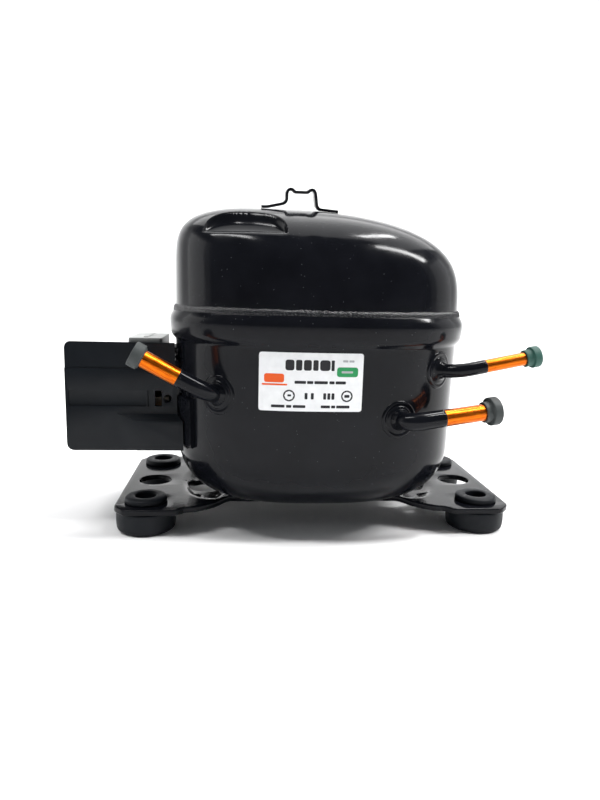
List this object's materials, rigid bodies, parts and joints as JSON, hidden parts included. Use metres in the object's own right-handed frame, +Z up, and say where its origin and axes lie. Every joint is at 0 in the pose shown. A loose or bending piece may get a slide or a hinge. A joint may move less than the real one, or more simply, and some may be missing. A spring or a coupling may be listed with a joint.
{
  "type": "hermetic reciprocating compressor",
  "caption": "Hermetic refrigeration compressor: welded steel shell on rubber-mounted feet, capped line tubes, terminal box, and a sprung motor and piston pump inside.",
  "frame": {"origin": "on the floor, at the centre of the four base bolts", "axes": "+X from the terminal box to the line side, +Y away from the tube side, +Z up"},
  "size_m": [0.2279, 0.1379, 0.1699],
  "materials": {
    "shell_paint": "gloss black enamel",
    "weld_bead": "rough weld bead under gloss black enamel",
    "copper": "drawn copper with a warm clear lacquer",
    "cap_rubber": "matt moulded rubber",
    "cap_green": "matt moulded rubber, dark green",
    "grommet_rubber": "matt black rubber",
    "label": "printed satin film",
    "cover_plastic": "fine-grained dark moulded plastic",
    "lid_plastic": "light grey moulded plastic",
    "relay_plastic": "cream moulded plastic",
    "protector_plastic": "black phenolic",
    "glass_seal": "fused green glass",
    "bare_steel": "machined steel",
    "spring_steel": "oiled spring steel",
    "cast_iron": "grey cast iron with machined faces",
    "aluminium": "die-cast aluminium",
    "lamination": "blued lamination stack",
    "enamel_wire": "varnished copper winding",
    "gasket": "pressed fibre",
    "bearing_bronze": "bronze",
    "wire_sleeve": "coloured wire sleeve"
  },
  "bodies": {
    "shell": {"lower_shell": "shell_paint", "upper_shell": "shell_paint", "shell_weld": "weld_bead", "left_foot": "shell_paint", "right_foot": "shell_paint", "grommet_front_left": "grommet_rubber", "grommet_front_right": "grommet_rubber", "grommet_rear_left": "grommet_rubber", "grommet_rear_right": "grommet_rubber", "tray_bracket": "shell_paint", "rating_label": "label", "suction_tube": "copper", "process_tube": "copper", "discharge_tube": "copper", "tube_collars": "shell_paint", "terminal_cup": "bare_steel", "terminal_glass": "glass_seal", "terminal_pins": "bare_steel", "cover_bracket": "shell_paint", "ptc_starter": "relay_plastic", "overload_protector": "protector_plastic", "inner_connector": "relay_plastic", "motor_leads": "wire_sleeve", "discharge_loop": "copper", "spring_rails": "bare_steel", "spring_front_left": "spring_steel", "spring_front_right": "spring_steel", "spring_rear_left": "spring_steel", "spring_rear_right": "spring_steel"},
    "pump_unit": {"cylinder_block": "cast_iron", "thrust_washer": "bearing_bronze", "cylinder_head": "aluminium", "head_gasket": "gasket", "valve_plate": "bare_steel", "valve_gasket": "gasket", "reed_stop": "bare_steel", "head_bolts": "bare_steel", "suction_muffler": "relay_plastic", "discharge_muffler": "bare_steel", "stator_core": "lamination", "stator_winding": "enamel_wire", "stator_bolts": "bare_steel", "spring_cups": "protector_plastic"},
    "crank": {"crankshaft": "bare_steel", "rotor_core": "lamination", "rotor_cage": "aluminium", "rotor_weight": "bare_steel", "oil_pickup": "bare_steel"},
    "slider_block": {"slider": "bare_steel"},
    "plug": {"gallery_plug": "bearing_bronze"},
    "piston_body": {"piston": "bare_steel"},
    "suction_valve": {"suction_reed": "spring_steel"},
    "discharge_valve": {"discharge_reed": "spring_steel"},
    "cover": {"terminal_cover": "cover_plastic", "cable_lid": "lid_plastic", "run_capacitor": "relay_plastic"},
    "suction_plug": {"suction_cap": "cap_rubber"},
    "process_plug": {"process_cap": "cap_rubber"},
    "discharge_plug": {"discharge_cap": "cap_green"}
  },
  "joints": [
    {"name": "pump_bounce", "type": "slide", "parent": "shell", "child": "pump_unit", "axis": [0, 0, 1], "range_m": [-0.0015, 0.0015], "stiffness_N_per_m": 12000, "springref_m": 0.00368, "deforming": ["spring_front_left", "spring_front_right", "spring_rear_left", "spring_rear_right", "discharge_loop", "motor_leads"]},
    {"name": "crank_spin", "type": "hinge", "parent": "pump_unit", "child": "crank", "pos_m": [0, 0, 0.064], "axis": [0, 0, 1], "continuous": true},
    {"name": "slider_swivel", "type": "hinge", "parent": "crank", "child": "slider_block", "pos_m": [-0.0062, 0, 0.123], "axis": [0, 0, 1], "continuous": true},
    {"name": "plug_spin", "type": "hinge", "parent": "crank", "child": "plug", "pos_m": [-0.0031, 0, 0.03], "axis": [0, 0, 1], "continuous": true},
    {"name": "piston_stroke", "type": "hinge", "parent": "plug", "child": "piston_body", "pos_m": [-0.0062, 0, 0.123], "axis": [0, 0, 1], "continuous": true},
    {"name": "suction_reed_flex", "type": "hinge", "parent": "pump_unit", "child": "suction_valve", "pos_m": [-0.04529, -0.0045, 0.1152], "axis": [0, 1, 0], "range_deg": [0, 2.5], "stiffness_Nm_per_rad": 0.02},
    {"name": "discharge_reed_flex", "type": "hinge", "parent": "pump_unit", "child": "discharge_valve", "pos_m": [-0.04902, 0.005, 0.1152], "axis": [0, -1, 0], "range_deg": [0, 3.5], "stiffness_Nm_per_rad": 0.02},
    {"name": "cover_pull", "type": "slide", "parent": "shell", "child": "cover", "axis": [-1, 0, 0], "range_m": [0, 0.05]},
    {"name": "suction_cap_pull", "type": "slide", "parent": "shell", "child": "suction_plug", "axis": [0.9801, 0.1645, 0.1115], "range_m": [0, 0.015]},
    {"name": "process_cap_pull", "type": "slide", "parent": "shell", "child": "process_plug", "axis": [-0.8744, -0.052, 0.4824], "range_m": [0, 0.015]},
    {"name": "discharge_cap_pull", "type": "slide", "parent": "shell", "child": "discharge_plug", "axis": [0.9778, 0.0952, 0.1864], "range_m": [0, 0.015]}
  ],
  "couplings": [
    {"joint": "slider_swivel", "follows": "crank_spin", "ratio": -1},
    {"joint": "plug_spin", "follows": "crank_spin", "ratio": -2},
    {"joint": "piston_stroke", "follows": "crank_spin", "ratio": 1}
  ]
}
